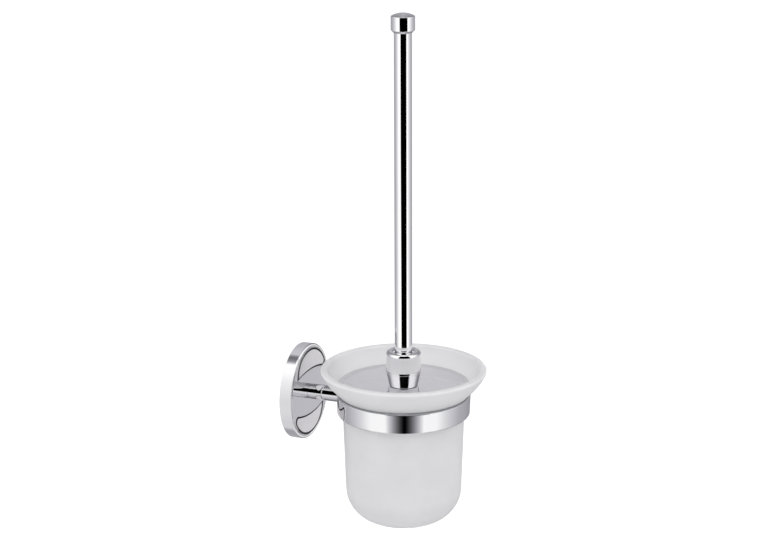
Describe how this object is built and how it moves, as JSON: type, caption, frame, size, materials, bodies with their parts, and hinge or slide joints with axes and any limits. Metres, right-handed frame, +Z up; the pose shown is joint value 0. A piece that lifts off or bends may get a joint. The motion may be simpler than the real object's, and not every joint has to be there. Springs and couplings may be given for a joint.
{
  "type": "toilet brush holder",
  "caption": "Wall-hung toilet brush holder: chromed rosette, arm and ring carry a frosted glass cup; a long-handled brush with a round lid lifts out of it.",
  "frame": {"origin": "centre of the wall bracket's back face, on the axis of the arm", "axes": "+Y into the wall, +Z up along the handle, the cup stands out along -Y"},
  "size_m": [0.1138, 0.1355, 0.3541],
  "materials": {
    "chrome": "polished",
    "satin_chrome": "satin",
    "black_enamel": "gloss",
    "steel": "zinc plated",
    "cast_zinc": "as cast",
    "brass": "turned",
    "gasket": "soft matte",
    "frosted_glass": "frosted",
    "white_plastic": "moulded",
    "bristle": "nylon filament"
  },
  "bodies": {
    "holder": {"wall_bracket": "cast_zinc", "rosette_cover": "chrome", "rosette_grub_screw": "steel", "rosette_faceplate": "chrome", "enamel_line_upper": "black_enamel", "enamel_line_lower": "black_enamel", "leaf_panel_upper": "satin_chrome", "leaf_panel_lower": "satin_chrome", "arm": "chrome", "arm_screw": "steel", "lock_washer": "steel", "ring_screw": "steel", "support_ring": "chrome", "cup_gasket": "gasket"},
    "cup": {"glass_cup": "frosted_glass"},
    "lid": {"lid_disc": "chrome", "lid_washer": "white_plastic"},
    "brush": {"handle_collar": "chrome", "handle_tube": "chrome", "handle_cap": "chrome", "tube_insert": "brass", "connecting_stud": "steel", "brush_core": "white_plastic", "side_bristles": "bristle", "tip_bristles": "bristle"}
  },
  "joints": [
    {"name": "cup_lift", "type": "slide", "parent": "holder", "child": "cup", "axis": [0, 0, 1], "range_m": [0, 0.1]},
    {"name": "brush_lift", "type": "slide", "parent": "cup", "child": "lid", "axis": [0, 0, 1], "range_m": [0, 0.12]},
    {"name": "brush_spin", "type": "hinge", "parent": "lid", "child": "brush", "pos_m": [0, -0.0786, 0], "axis": [0, 0, 1], "continuous": true}
  ]
}
